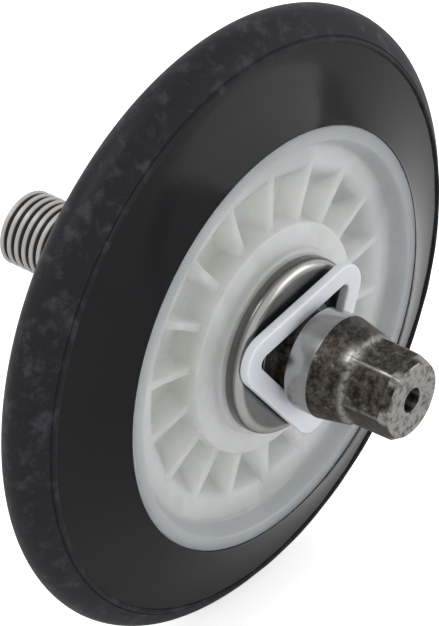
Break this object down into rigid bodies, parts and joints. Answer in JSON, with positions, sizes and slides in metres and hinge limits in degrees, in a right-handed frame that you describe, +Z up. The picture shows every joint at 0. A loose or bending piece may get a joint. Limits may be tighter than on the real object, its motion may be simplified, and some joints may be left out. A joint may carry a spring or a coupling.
{
  "type": "dryer drum roller",
  "caption": "Drum support roller for a tumble dryer: rubber tyred nylon wheel running on a steel axle with a threaded stud and a hexagon end.",
  "frame": {"origin": "centre of the axle's shoulder face, where the threaded stud begins", "axes": "+Y along the stud and away from the wheel, the hexagon end towards -Y, +Z up, the axle level as in the machine"},
  "size_m": [0.08, 0.0614, 0.08],
  "materials": {
    "axle_steel": "turned and part blackened",
    "washer_steel": "bright rolled",
    "clip_plastic": "smooth white",
    "hub_nylon": "frosted natural nylon",
    "tyre_rubber": "semi-gloss moulded rubber"
  },
  "bodies": {
    "axle_set": {"axle": "axle_steel", "front_washer": "washer_steel", "rear_washer": "washer_steel", "retaining_clip": "clip_plastic"},
    "wheel": {"hub": "hub_nylon", "tyre": "tyre_rubber"}
  },
  "joints": [
    {"name": "wheel_spin", "type": "hinge", "parent": "axle_set", "child": "wheel", "pos_m": [0, -0.0172, 0], "axis": [0, -1, 0], "continuous": true}
  ]
}
